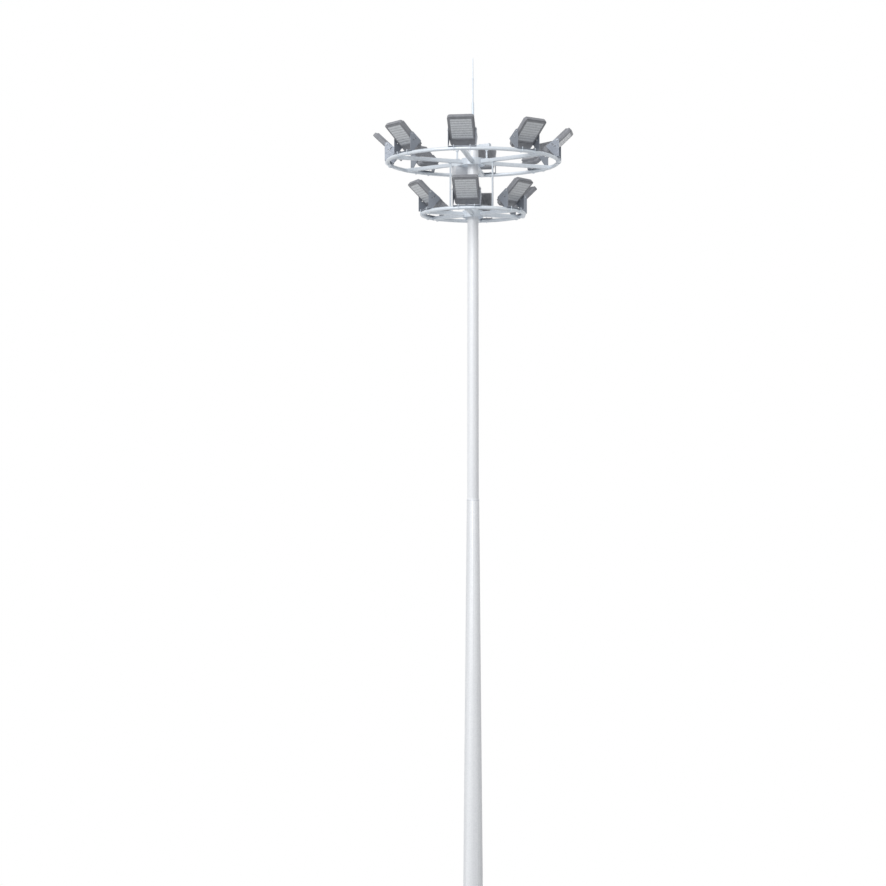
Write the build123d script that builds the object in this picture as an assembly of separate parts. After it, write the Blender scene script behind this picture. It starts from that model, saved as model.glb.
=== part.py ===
from build123d import *
from math import atan, cos, degrees, pi, sqrt
import os

# High mast floodlight tower: a tubular steel mast on a bolted base flange, a three-armed head frame
# with a lightning rod on its top, and a carriage of two rings of LED floodlights, which is hoisted
# along the mast and docks under the head frame. Millimetres, +Z up. The origin is the centre of the
# base flange's underside. The carriage is drawn docked, at the top of its travel.
# Stations are angles about Z, counted anticlockwise from +X; the first one looks along -Y.

FIT = 0.3                 # gap left at seats and weld seams
FIRST_STATION = -90.0     # angle of the first spoke and the first light of each ring

# ---- mast ----
FLANGE_RADIUS = 290.0
FLANGE_THICK = 30.0
CABLE_ENTRY_RADIUS = 120.0
ANCHOR_COUNT = 8
ANCHOR_CIRCLE_RADIUS = 235.0
ANCHOR_HOLE_RADIUS = 16.5
GUSSET_THICK = 12.0
GUSSET_HEIGHT = 170.0
GUSSET_EDGE = 25.0        # upright outer edge of a gusset
GUSSET_SETBACK = 20.0     # from the flange's rim to the gusset
MAST_SIDES = 24           # narrow flats that the plate is pressed to
BASE_RADIUS = 177.5       # half the width across flats, at the ground
MAST_TAPER = 0.0093       # radius lost per millimetre of height in the lower section
MAST_WALL = 5.0
JOINT_HEIGHT = 8300.0     # where the upper section comes out of the lower one
JOINT_DEPTH = 300.0       # how far it is let in
UPPER_FOOT_RADIUS = 94.5  # half width of the upper section at its foot
UPPER_TOP_RADIUS = 88.5   # and under the head frame
JOINT_RING_RISE = 20.0    # weld ring that closes the joint

# ---- service door in the lower section, on the -Y side ----
DOOR_WIDTH = 200.0
DOOR_HEIGHT = 620.0
DOOR_MIDDLE = 900.0
DOOR_FRAME_WIDTH = 30.0
DOOR_FRAME_PROUD = 9.0
DOOR_OVERLAP = 24.0       # how far the door lies over its frame
DOOR_THICK = 4.0

# ---- head frame and lightning rod ----
UPPER_TIER = 13845.0      # mid-plane of the upper ring, docked
LOWER_TIER = 12990.0      # mid-plane of the lower ring, docked
ARM_UNDERSIDE = 215.0     # head frame above the upper ring's mid-plane
ARM_HEIGHT = 60.0
ARM_WIDTH = 60.0
ARM_REACH = 350.0
HEAD_PLATE_RADIUS = 125.0
HEAD_PLATE_THICK = 15.0
CAP_RADIUS = 96.0
HUB_SIDES = 12            # flats of the head plate, the hubs, the rods and the docking gear
DOCK_RADIUS = 280.0       # distance of the docking pins from the mast's axis
DOCK_PIN_RADIUS = 15.0
DOCK_TIP_SLOPE = 28.0     # degrees off upright
DOCK_CUP_WALL = 5.0
DOCK_CUP_HEIGHT = 55.0
DOCK_CLEARANCE = 5.0      # round the pin in its cup
DOCK_FOOT = 70.0          # side of the square foot of a docking pin
DOCK_FOOT_THICK = 8.0
SLEEVE_RADIUS = 19.0
SLEEVE_TOP = 14830.0
SLEEVE_FOOT_RADIUS = 45.0
SLEEVE_FOOT_THICK = 10.0
ROD_RADIUS = 11.0         # lower half of the rod
ROD_UPPER_RADIUS = 8.0
ROD_STEP = 15220.0        # where the thinner half is screwed in
ROD_POINT = 40.0
ROD_POINT_SLOPE = 9.0     # degrees off upright
ROD_TOP = 15570.0

# ---- carriage ----
UPPER_RING_RADIUS = 1400.0
LOWER_RING_RADIUS = 840.0
RING_TUBE = 60.0          # across the flats of the ring's tube
RING_SIDES = 8
SPOKE_COUNT = 6
SPOKE_WIDTH = 60.0
SPOKE_HEIGHT = RING_TUBE - 2 * FIT  # as deep as the ring, clear of the yokes' feet
UPPER_HUB_RADIUS = 190.0  # half the width across the hub's flats
LOWER_HUB_RADIUS = 171.0
HUB_WALL = 6.0
HUB_HEIGHT = 110.0
TIE_ROD_RADIUS = 15.0
TIE_ROD_CIRCLE = 400.0    # distance of the tie rods from the mast's axis
TIE_PLATE = 60.0
TIE_PLATE_THICK = 8.0
HOISTED_SPOKES = (1, 3, 5)  # the spokes that carry a tie rod and a docking pin

# ---- junction box, hung under two neighbouring spokes of the upper ring ----
BOX_STATION = 120.0
BOX_INNER = 250.0
BOX_DEPTH = 160.0
BOX_WIDTH = 365.0
BOX_SHIFT = 28.0          # sideways, clear of the tie rod's end plate
BOX_HEIGHT = 150.0
BOX_CORNER = 12.0

# ---- floodlights and their yokes ----
UPPER_LIGHTS = 8
LOWER_LIGHTS = 6
AIM = 43.0                # slope of a light head at rest, outer end up
PIVOT_RISE = 295.0        # tilt pivot above the ring's mid-plane
HEAD_WIDTH = 424.0
HEAD_FOOT_WIDTH = 404.0   # narrower end, towards the mast
HEAD_LENGTH = 565.0
HEAD_CORNER = 26.0        # cut off each corner
HEAD_FRONT = 45.0         # front face from the pivot plane
HEAD_BACK = 22.0          # back plate from the pivot plane
FIN_COUNT = 6             # cooling fins along the back
FIN_PITCH = 60.0
FIN_THICK = 5.0
FIN_HEIGHT = 26.0
FIN_SETBACK = 30.0        # from the outer end and from the gear case
GEAR_LENGTH = 130.0
GEAR_WIDTH = 330.0
GEAR_BACK = 75.0
GEAR_SETBACK = 18.0
LENS_WIDTH = 350.0
LENS_LENGTH = 382.0
LENS_MARGIN = 46.0        # from the outer end of the head
LENS_THICK = 6.0
LENS_RECESS = 2.0
LAMP_DEPTH = 40.0         # chamber behind the lens
YOKE_PLATE = 6.0
YOKE_GAP = 5.0            # between the head's side and the yoke
YOKE_FOOT_THICK = 8.0
YOKE_INNER = 50.0         # the yoke's foot, inwards from the ring's centre line
YOKE_OUTER = 32.0
YOKE_TOP = 34.0           # plate above the pivot
YOKE_CHAMFER = 20.0
YOKE_SECTOR_IN = 185.0    # corner of the aiming sector, inwards
YOKE_SECTOR_UP = 197.0    # and above the ring's mid-plane
YOKE_WAIST = 55.0         # where the sector runs into the stem
PIVOT_NUT = 34.0          # across the flats

UP = Axis.Z
STAND = (Align.CENTER, Align.CENTER, Align.MIN)


def around(count, first=FIRST_STATION):
    """Angles of equally spaced stations."""
    return [first + 360.0 * i / count for i in range(count)]


def at(angle, solid, radius=0.0, height=0.0):
    """A solid drawn at +X, carried out to a radius, up to a height and round to an angle."""
    return Rot(0, 0, angle) * (Pos(radius, 0, height) * solid)


def flats(radius, sides):
    """Regular polygon by half its width across flats, with a flat towards every station."""
    return RegularPolygon(radius, sides, major_radius=False, rotation=180.0 / sides)


def prism(radius, sides, height):
    return extrude(flats(radius, sides), height)


def shaft(foot_radius, taper, length):
    """Tapered shaft of flats that loses a radius per millimetre of height."""
    return extrude(flats(foot_radius, MAST_SIDES), length, taper=degrees(atan(taper)))


def mast_radius(height):
    """Half width of the lower section at a height."""
    return BASE_RADIUS - MAST_TAPER * height


def lower_shaft(offset, bottom, top):
    """A solid shaft that follows the lower section's outside at an offset."""
    return Pos(0, 0, bottom) * shaft(mast_radius(bottom) + offset, MAST_TAPER, top - bottom)


def door_prism(margin):
    """Round-ended slot through the mast's -Y wall, larger than the doorway by a margin."""
    outline = SlotOverall(DOOR_HEIGHT + 2 * margin, DOOR_WIDTH + 2 * margin, rotation=90)
    return Pos(0, 0, DOOR_MIDDLE) * extrude(Plane.XZ * outline, BASE_RADIUS * 1.5)


def base_flange():
    plate = Cylinder(FLANGE_RADIUS, FLANGE_THICK, align=STAND)
    plate -= Cylinder(CABLE_ENTRY_RADIUS, FLANGE_THICK, align=STAND)
    for angle in around(ANCHOR_COUNT, FIRST_STATION + 180.0 / ANCHOR_COUNT):
        plate -= at(angle, Cylinder(ANCHOR_HOLE_RADIUS, FLANGE_THICK, align=STAND), ANCHOR_CIRCLE_RADIUS)
    return plate


def base_gussets():
    foot, top = FLANGE_THICK, FLANGE_THICK + GUSSET_HEIGHT
    rim = FLANGE_RADIUS - GUSSET_SETBACK
    profile = Polygon(
        (mast_radius(foot) + FIT, foot),
        (rim, foot),
        (rim, foot + GUSSET_EDGE),
        (mast_radius(top) + FIT + GUSSET_EDGE, top),
        (mast_radius(top) + FIT, top),
        align=None,
    )
    gusset = extrude(Plane.XZ * profile, GUSSET_THICK / 2, both=True)
    return [at(angle, gusset) for angle in around(ANCHOR_COUNT)]


def mast_lower_section():
    outside = lower_shaft(0, FLANGE_THICK, JOINT_HEIGHT)
    return outside - lower_shaft(-MAST_WALL, FLANGE_THICK, JOINT_HEIGHT) - door_prism(0)


def mast_upper_section():
    bottom, top = JOINT_HEIGHT - JOINT_DEPTH, UPPER_TIER + ARM_UNDERSIDE
    taper = (UPPER_FOOT_RADIUS - UPPER_TOP_RADIUS) / (top - bottom)
    tube = shaft(UPPER_FOOT_RADIUS, taper, top - bottom)
    tube -= shaft(UPPER_FOOT_RADIUS - MAST_WALL, taper, top - bottom)
    return Pos(0, 0, bottom) * tube


def mast_joint_ring():
    ring = prism(mast_radius(JOINT_HEIGHT), MAST_SIDES, JOINT_RING_RISE)
    ring -= prism(UPPER_FOOT_RADIUS + FIT, MAST_SIDES, JOINT_RING_RISE)
    return Pos(0, 0, JOINT_HEIGHT) * ring


def door_frame():
    low, high = DOOR_MIDDLE - DOOR_HEIGHT, DOOR_MIDDLE + DOOR_HEIGHT
    band = lower_shaft(DOOR_FRAME_PROUD, low, high) - lower_shaft(FIT, low, high)
    return band & (door_prism(DOOR_FRAME_WIDTH) - door_prism(0))


def service_door():
    low, high = DOOR_MIDDLE - DOOR_HEIGHT, DOOR_MIDDLE + DOOR_HEIGHT
    seat = DOOR_FRAME_PROUD + FIT
    skin = lower_shaft(seat + DOOR_THICK, low, high) - lower_shaft(seat, low, high)
    return skin & door_prism(DOOR_OVERLAP)


def head_plate():
    plate = prism(HEAD_PLATE_RADIUS, HUB_SIDES, HEAD_PLATE_THICK)
    return Pos(0, 0, UPPER_TIER + ARM_UNDERSIDE) * (plate + prism(CAP_RADIUS, HUB_SIDES, ARM_HEIGHT))


def head_frame_arms():
    """Each arm lies on the head plate against the cap, and is notched where it passes the plate's edge."""
    inner = CAP_RADIUS + FIT
    arm = Box(ARM_REACH - inner, ARM_WIDTH, ARM_HEIGHT, align=(Align.MIN, Align.CENTER, Align.MIN))
    arm = Pos(inner, 0, 0) * arm - prism(HEAD_PLATE_RADIUS + FIT, HUB_SIDES, HEAD_PLATE_THICK)
    stations = around(SPOKE_COUNT)
    return [at(stations[i], arm, 0, UPPER_TIER + ARM_UNDERSIDE) for i in HOISTED_SPOKES]


def docking_cups():
    bore = DOCK_PIN_RADIUS + DOCK_CLEARANCE
    cup = prism(bore + DOCK_CUP_WALL, HUB_SIDES, DOCK_CUP_HEIGHT)
    cup -= prism(bore, HUB_SIDES, DOCK_CUP_HEIGHT)
    stations = around(SPOKE_COUNT)
    height = UPPER_TIER + ARM_UNDERSIDE - DOCK_CUP_HEIGHT
    return [at(stations[i], cup, DOCK_RADIUS, height) for i in HOISTED_SPOKES]


def rod_sleeve():
    foot = UPPER_TIER + ARM_UNDERSIDE + ARM_HEIGHT
    sleeve = prism(SLEEVE_FOOT_RADIUS, HUB_SIDES, SLEEVE_FOOT_THICK)
    sleeve += prism(SLEEVE_RADIUS, HUB_SIDES, SLEEVE_TOP - foot)
    return Pos(0, 0, foot) * sleeve


def lightning_rod():
    rod = prism(ROD_RADIUS, HUB_SIDES, ROD_STEP - SLEEVE_TOP)
    thin = prism(ROD_UPPER_RADIUS, HUB_SIDES, ROD_TOP - ROD_POINT - ROD_STEP)
    point = extrude(flats(ROD_UPPER_RADIUS, HUB_SIDES), ROD_POINT, taper=ROD_POINT_SLOPE)
    rod += Pos(0, 0, ROD_STEP - SLEEVE_TOP) * thin
    rod += Pos(0, 0, ROD_TOP - ROD_POINT - SLEEVE_TOP) * point
    return Pos(0, 0, SLEEVE_TOP) * rod


def ring(radius, height):
    """A tube of flats, rolled to a ring."""
    return revolve(Plane.XZ * (Pos(radius, height) * flats(RING_TUBE / 2, RING_SIDES)), UP)


def spokes(ring_radius, hub_radius, height):
    """Square-cut bars from the hub's flats to the ring."""
    start = hub_radius + FIT
    end = sqrt((ring_radius - RING_TUBE / 2) ** 2 - (SPOKE_WIDTH / 2) ** 2) - FIT
    spoke = Box(end - start, SPOKE_WIDTH, SPOKE_HEIGHT, align=(Align.MIN, Align.CENTER, Align.CENTER))
    return [at(angle, spoke, start, height) for angle in around(SPOKE_COUNT)]


def hub(radius, height):
    band = prism(radius, HUB_SIDES, HUB_HEIGHT) - prism(radius - HUB_WALL, HUB_SIDES, HUB_HEIGHT)
    return Pos(0, 0, height - HUB_HEIGHT / 2) * band


def tie_rods():
    bottom = LOWER_TIER + SPOKE_HEIGHT / 2
    length = UPPER_TIER - SPOKE_HEIGHT / 2 - bottom
    rod = prism(TIE_ROD_RADIUS, HUB_SIDES, length)
    foot = Box(TIE_PLATE, TIE_PLATE, TIE_PLATE_THICK, align=STAND)
    rod += foot
    rod += Pos(0, 0, length - TIE_PLATE_THICK) * foot
    stations = around(SPOKE_COUNT)
    return [at(stations[i], rod, TIE_ROD_CIRCLE, bottom) for i in HOISTED_SPOKES]


def docking_pins():
    bottom = UPPER_TIER + SPOKE_HEIGHT / 2
    length = UPPER_TIER + ARM_UNDERSIDE - FIT - bottom
    pin = prism(DOCK_PIN_RADIUS, HUB_SIDES, length - DOCK_PIN_RADIUS)
    tip = extrude(flats(DOCK_PIN_RADIUS, HUB_SIDES), DOCK_PIN_RADIUS, taper=DOCK_TIP_SLOPE)
    pin += Pos(0, 0, length - DOCK_PIN_RADIUS) * tip
    pin += Box(DOCK_FOOT, SPOKE_WIDTH, DOCK_FOOT_THICK, align=STAND)
    stations = around(SPOKE_COUNT)
    return [at(stations[i], pin, DOCK_RADIUS, bottom) for i in HOISTED_SPOKES]


def junction_box():
    box = Box(BOX_DEPTH, BOX_WIDTH, BOX_HEIGHT, align=(Align.MIN, Align.CENTER, Align.MAX))
    box = fillet(box.edges().filter_by(UP), BOX_CORNER)
    box = Pos(BOX_INNER, BOX_SHIFT, UPPER_TIER - SPOKE_HEIGHT / 2) * box
    return Rot(0, 0, BOX_STATION) * box


def yoke():
    """Two side plates on a foot, drawn with the ring's centre line at the origin and outwards as +X."""
    span = HEAD_WIDTH + 2 * (YOKE_GAP + YOKE_PLATE)
    foot_low = RING_TUBE / 2
    foot_high = foot_low + YOKE_FOOT_THICK
    top = PIVOT_RISE + YOKE_TOP
    side = Polygon(
        (-YOKE_INNER, foot_low),
        (YOKE_OUTER, foot_low),
        (YOKE_OUTER, top - YOKE_CHAMFER),
        (YOKE_OUTER - YOKE_CHAMFER, top),
        (-YOKE_CHAMFER, top),
        (-YOKE_SECTOR_IN, YOKE_SECTOR_UP),
        (-YOKE_INNER, YOKE_WAIST),
        align=None,
    )
    plate = extrude(Plane.XZ * side, YOKE_PLATE)
    width = YOKE_INNER + YOKE_OUTER
    body = Box(width, span, YOKE_FOOT_THICK, align=(Align.MIN, Align.CENTER, Align.MIN))
    body = Pos(-YOKE_INNER, 0, foot_low) * body
    body += Pos(0, -span / 2 + YOKE_PLATE, 0) * plate
    body += Pos(0, span / 2, 0) * plate
    return body


def yokes(count, radius, height):
    drawn = yoke()
    return [at(angle, drawn, radius, height) for angle in around(count)]


def aimed():
    """Placement of what is drawn on a light head: +X to its outer end, +Z to its back, from the pivot."""
    return Pos(0, 0, PIVOT_RISE) * Rot(0, -AIM, 0)


def lens_centre():
    return HEAD_LENGTH / 2 - LENS_MARGIN - LENS_LENGTH / 2


def light_outline():
    """Front view of a head: square outer part, narrower at the foot, with cut corners."""
    half = HEAD_LENGTH / 2
    outline = Polygon(
        (half, -HEAD_WIDTH / 2),
        (half, HEAD_WIDTH / 2),
        (-half / 2, HEAD_WIDTH / 2),
        (-half, HEAD_FOOT_WIDTH / 2),
        (-half, -HEAD_FOOT_WIDTH / 2),
        (-half / 2, -HEAD_WIDTH / 2),
        align=None,
    )
    return chamfer([v for v in outline.vertices() if abs(abs(v.X) - half) < FIT], HEAD_CORNER)


def light_housing():
    """A casting: bezel with a window over the lamp chamber, cooling fins, gear case, two pivot nuts."""
    half = HEAD_LENGTH / 2
    gear_end = GEAR_SETBACK + GEAR_LENGTH
    along = (Align.MIN, Align.CENTER, Align.MIN)
    body = extrude(Pos(0, 0, -HEAD_FRONT) * light_outline(), HEAD_FRONT + HEAD_BACK)
    body += Pos(GEAR_SETBACK - half, 0, 0) * Box(GEAR_LENGTH, GEAR_WIDTH, GEAR_BACK, align=along)
    fin_length = HEAD_LENGTH - gear_end - 2 * FIN_SETBACK
    fin = Box(fin_length, FIN_THICK, HEAD_BACK + FIN_HEIGHT, align=along)
    for i in range(FIN_COUNT):
        side = (i - (FIN_COUNT - 1) / 2) * FIN_PITCH
        body += Pos(gear_end + FIN_SETBACK - half, side, 0) * fin
    chamber = LENS_RECESS + LENS_THICK + LAMP_DEPTH
    body -= Pos(lens_centre(), 0, -HEAD_FRONT) * Box(LENS_LENGTH, LENS_WIDTH, chamber, align=STAND)
    nut = prism(PIVOT_NUT / 2, 6, YOKE_GAP - FIT)
    body += Pos(0, HEAD_WIDTH / 2, 0) * (Rot(-90, 0, 0) * nut)
    body += Pos(0, -HEAD_WIDTH / 2, 0) * (Rot(90, 0, 0) * nut)
    return aimed() * body


def light_lens():
    pane = Box(LENS_LENGTH - 2 * FIT, LENS_WIDTH - 2 * FIT, LENS_THICK, align=STAND)
    return aimed() * (Pos(lens_centre(), 0, -HEAD_FRONT + LENS_RECESS) * pane)


def write(name, shape):
    """One STEP file for a node; a list of solids shares the node."""
    if isinstance(shape, list):
        shape = Compound(children=shape)
    export_step(shape, f"parts/{name}.step")


def write_lights(tier, count, radius, height):
    housing, lens = light_housing(), light_lens()
    for i, angle in enumerate(around(count), 1):
        write(f"{tier}_light_{i}_housing", at(angle, housing, radius, height))
        write(f"{tier}_light_{i}_lens", at(angle, lens, radius, height))


os.makedirs("parts", exist_ok=True)
write("base_flange", base_flange())
write("base_gussets", base_gussets())
write("mast_lower_section", mast_lower_section())
write("mast_upper_section", mast_upper_section())
write("mast_joint_ring", mast_joint_ring())
write("door_frame", door_frame())
write("service_door", service_door())
write("head_plate", head_plate())
write("head_frame_arms", head_frame_arms())
write("docking_cups", docking_cups())
write("rod_sleeve", rod_sleeve())
write("lightning_rod", lightning_rod())
write("upper_ring", ring(UPPER_RING_RADIUS, UPPER_TIER))
write("lower_ring", ring(LOWER_RING_RADIUS, LOWER_TIER))
write("upper_spokes", spokes(UPPER_RING_RADIUS, UPPER_HUB_RADIUS, UPPER_TIER))
write("lower_spokes", spokes(LOWER_RING_RADIUS, LOWER_HUB_RADIUS, LOWER_TIER))
write("upper_hub", hub(UPPER_HUB_RADIUS, UPPER_TIER))
write("lower_hub", hub(LOWER_HUB_RADIUS, LOWER_TIER))
write("tie_rods", tie_rods())
write("docking_pins", docking_pins())
write("junction_box", junction_box())
write("upper_yokes", yokes(UPPER_LIGHTS, UPPER_RING_RADIUS, UPPER_TIER))
write("lower_yokes", yokes(LOWER_LIGHTS, LOWER_RING_RADIUS, LOWER_TIER))
write_lights("upper", UPPER_LIGHTS, UPPER_RING_RADIUS, UPPER_TIER)
write_lights("lower", LOWER_LIGHTS, LOWER_RING_RADIUS, LOWER_TIER)
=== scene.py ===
import math
from collections import namedtuple

import bpy
import numpy as np
from mathutils import Matrix, Vector
from mathutils.geometry import tessellate_polygon


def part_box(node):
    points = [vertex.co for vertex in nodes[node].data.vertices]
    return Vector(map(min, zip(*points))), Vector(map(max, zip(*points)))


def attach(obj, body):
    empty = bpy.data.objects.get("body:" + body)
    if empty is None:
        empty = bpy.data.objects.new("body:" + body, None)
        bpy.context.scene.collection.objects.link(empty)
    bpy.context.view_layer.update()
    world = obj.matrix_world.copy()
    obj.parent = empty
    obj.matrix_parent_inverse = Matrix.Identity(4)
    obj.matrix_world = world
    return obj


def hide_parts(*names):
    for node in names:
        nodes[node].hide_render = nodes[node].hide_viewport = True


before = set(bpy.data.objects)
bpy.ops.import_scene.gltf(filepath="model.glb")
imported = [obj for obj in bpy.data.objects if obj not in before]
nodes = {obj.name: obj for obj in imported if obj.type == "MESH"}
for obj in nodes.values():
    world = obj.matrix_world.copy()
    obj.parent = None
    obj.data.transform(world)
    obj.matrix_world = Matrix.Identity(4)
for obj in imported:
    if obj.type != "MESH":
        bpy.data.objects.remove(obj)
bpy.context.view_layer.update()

# High mast floodlight tower. Metres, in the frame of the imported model: +Z up the mast, the origin on
# the underside of the base flange. A light head is drawn in its own frame: +X to its outer end, +Z to
# its back, the tilt pivot at the origin. A yoke is drawn with its ring's centre line at the origin.

# ================= sizes read from the frame =================


def bottom(node):
    """Height of a node's lowest point."""
    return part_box(node)[0].z


def top(node):
    """Height of a node's highest point."""
    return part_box(node)[1].z


def reach(node):
    """How far a node goes from the mast's axis along +Y."""
    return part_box(node)[1].y


Tier = namedtuple("Tier", "name lights z ring hub")
RING_TUBE = (top("upper_ring") - bottom("upper_ring")) / 2    # radius of the tube


def read_tier(name, lights):
    """A tier of the carriage: its height, and the radii to its ring tube's middle and its hub's face."""
    ring = f"{name}_ring"
    return Tier(name, lights, (bottom(ring) + top(ring)) / 2, reach(ring) - RING_TUBE, reach(f"{name}_hub"))


UPPER = read_tier("upper", 8)
LOWER = read_tier("lower", 6)
HUB_HEIGHT = top("upper_hub") - bottom("upper_hub")
SPOKE_HEIGHT = top("upper_spokes") - bottom("upper_spokes")
PIN_TOP = top("docking_pins")
PLATE_LOW, PLATE_TOP = bottom("head_plate"), top("head_plate")
SLEEVE_TOP = top("rod_sleeve")
ROD_TOP = top("lightning_rod")
FLANGE_TOP, FLANGE_RADIUS = top("base_flange"), reach("base_flange")
GUSSET_TOP = top("base_gussets")
JOINT = bottom("mast_joint_ring")
BASE_RADIUS = reach("mast_lower_section")
DOOR_LOW, DOOR_HIGH = bottom("service_door"), top("service_door")
DOOR_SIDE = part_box("service_door")[1].x
DOOR_FRONT = -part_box("service_door")[0].y
BOX_LOW, BOX_TOP = bottom("junction_box"), top("junction_box")

# ================= sizes of this script's own pieces =================

# mast
MAST_TAPER = 0.0093           # what the lower section's radius loses in a metre of height
SEAM = math.radians(97.5)     # side of the mast that the lengthwise seams run up
SEAM_FOOT, SEAM_HEAD = 0.0942, 0.0884    # the upper section's radius at the two ends of its seam
ANCHORS, ANCHOR_CIRCLE, ANCHOR_BOLT = 8, 0.235, 0.030
GUSSETS, GUSSET_SIDE = 8, 0.0075         # and the beads' distance from a gusset's middle
DOOR_SINK = 0.0005            # how deep the door's fittings stand in its face
THIN_ROD = 0.350              # length of the rod's thinner half
CUP_HEIGHT = 0.055

# carriage
HUB_WALL = 0.006
SPOKE_WIDTH = 0.060
TIE_CIRCLE, TIE_ROD = 0.400, 0.015       # radii of the circle they stand on and of the rod
DOCK_CIRCLE, DOCK_PIN = 0.280, 0.015
END_PLATE = 0.008             # thickness of the plates under rods and pins
YOKE_SPAN = 0.446             # over both side plates
YOKE_PLATE = 0.006
YOKE_FOOT = 0.008
PIVOT_RISE = 0.295            # from the ring's middle to the tilt pivot
SLOT_RADIUS = 0.100           # of the aiming slot, about the pivot
SLOT_WIDTH = 0.012
SLOT_START, SLOT_END = math.radians(213), math.radians(254)
CLAMP_SIDE = 0.130            # distance of each U-bolt from its yoke's middle
BOX_STATION = math.radians(120)
BOX_INNER, BOX_DEPTH, BOX_WIDTH = 0.250, 0.160, 0.365
BOX_SIDE = 0.028              # how far the box's middle lies beside its station

# light heads
AIM = math.radians(43)        # slope at rest
HEAD_WIDTH, HEAD_LENGTH = 0.424, 0.565
HEAD_FOOT = 0.404             # width of the inner end
HEAD_CORNER = 0.042
HEAD_FRONT, HEAD_BACK = 0.045, 0.022     # from the pivot to the casting's two faces
WINDOW_WIDTH, WINDOW_LENGTH = 0.350, 0.382
WINDOW_MIDDLE = 0.0455        # towards the outer end
LENS_ROWS, LENS_COLUMNS = 8, 10
SHEET_RISE = 0.0008           # of the lens sheet over the casting's front
GEAR_INNER, GEAR_OUTER = -0.2645, -0.1345
GEAR_WIDTH, GEAR_BACK = 0.330, 0.075
FINS, FIN_BACK = 17, 0.048
FIN_SINK = 0.002              # how deep fins and gear case stand in the casting's back
PIVOT_BOLT, AIMING_BOLT = 0.014, 0.010
AIMING_SPOT = math.radians(240)          # where in its slot the aiming bolt stands at rest
BOLT_SEAT = 0.0002            # between a yoke's side plate and the washers on it

# light, camera and floor
FILL = 0.45                   # strength of the even sky
KEY = 1.85                    # strength of the key lamp
KEY_SPREAD = math.radians(40)
KEY_SIDE, KEY_RISE = math.radians(-22), math.radians(28)    # where it stands: round from -Y, and up
CAMERA_SIDE = math.radians(7)            # where the camera stands: round from -Y
CAMERA_AWAY, CAMERA_HEIGHT = 30.0, 9.0
CAMERA_LENS, CAMERA_SENSOR = 74.3, 36.0  # millimetres
CAMERA_UP, CAMERA_LEFT = math.radians(0.45), math.radians(0.94)    # its turn up, and off the axis
FLOOR_RADIUS = 8.0
FLOOR_DROP = 0.001


def stations(count, first=0.0):
    """Angles of equally spaced stations round the mast, from -Y on."""
    return -math.pi / 2 + first + np.arange(count) * 2 * math.pi / count


SPOKES = stations(6)
HOISTED = SPOKES[1::2]        # the spokes with tie rods, docking pins and head-frame arms

# ================= shapes =================


def turn(angle, axis="Z"):
    """Matrix that turns by an angle about an axis through the origin."""
    return np.array(Matrix.Rotation(angle, 4, axis))


def shift(x=0.0, y=0.0, z=0.0):
    """Matrix that moves by x, y and z."""
    return np.array(Matrix.Translation((x, y, z)))


TO_FRONT = turn(math.pi / 2, "X")        # a drawing stood up: its +Y points up and its +Z to -Y
TO_BACK = turn(-math.pi / 2, "X")        # its +Z points to +Y
TO_RIGHT = turn(math.pi / 2, "Y")        # its +Z points to +X
SIDES = ((1, TO_BACK), (-1, TO_FRONT))   # both sides of a light head, each with its outward turn


def points_at(x, y, z):
    """Points from their coordinates, each an array or one number for all."""
    return np.stack(np.broadcast_arrays(x, y, z), 1).astype(float)


def circle(radius, count):
    """Points of a circle: (r cos t, r sin t) for equal steps of t."""
    t = np.arange(count) * 2 * math.pi / count
    return radius * np.stack([np.cos(t), np.sin(t)], 1)


def rounded(corners, radii, steps=5):
    """Closed outline: each corner becomes the arc of its radius that touches both its sides."""
    corners = np.asarray(corners, float)
    radii = np.broadcast_to(radii, len(corners))
    arcs = []
    for i, corner in enumerate(corners):
        if radii[i] == 0:
            arcs.append(corner[None])
            continue
        back, on = corners[i - 1] - corner, corners[(i + 1) % len(corners)] - corner
        back, on = back / np.linalg.norm(back), on / np.linalg.norm(on)
        half = math.acos(np.clip(back @ on, -1, 1)) / 2
        middle = (back + on) / np.linalg.norm(back + on)
        centre = corner + middle * radii[i] / math.sin(half)
        start = corner + back * radii[i] / math.tan(half) - centre
        end = corner + on * radii[i] / math.tan(half) - centre
        sweep = math.atan2(start[0] * end[1] - start[1] * end[0], start @ end)
        t = math.atan2(start[1], start[0]) + np.linspace(0, sweep, steps + 1)
        arcs.append(centre + radii[i] * np.stack([np.cos(t), np.sin(t)], 1))
    return np.concatenate(arcs)


def oblong(length, width, corner, middle=(0, 0), steps=5):
    """Rectangle with round corners about a middle."""
    x, y = length / 2, width / 2
    return rounded([(x, -y), (x, y), (-x, y), (-x, -y)], corner, steps) + np.array(middle)


def arc_slot(radius, width, start, end):
    """Slot whose middle line is the arc of a radius from one angle to another, with round ends."""
    t = np.linspace(start, end, 9)
    rim = np.linspace(0, math.pi, 7)[1:-1]

    def arc(r, angles):
        return r * np.stack([np.cos(angles), np.sin(angles)], 1)

    far = arc(radius, t[-1:]) + arc(width / 2, end + rim)
    near = arc(radius, t[:1]) + arc(width / 2, start + math.pi + rim)
    return np.concatenate([arc(radius + width / 2, t), far, arc(radius - width / 2, t[::-1]), near])


def outward(outline):
    """For each point of a counterclockwise outline, the step that moves both its sides out by one."""
    along = np.roll(outline, -1, 0) - outline
    along /= np.linalg.norm(along, axis=1, keepdims=True)
    side = np.stack([along[:, 1], -along[:, 0]], 1)
    before = np.roll(side, 1, 0)
    return (side + before) / (1 + (side * before).sum(1, keepdims=True))


def slab(low, high, edge):
    """Layers of a plate from one height to another, with both rims broken by an edge at 45 degrees."""
    return [(-edge, low), (0, low + edge), (0, high - edge), (-edge, high)]


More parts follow.
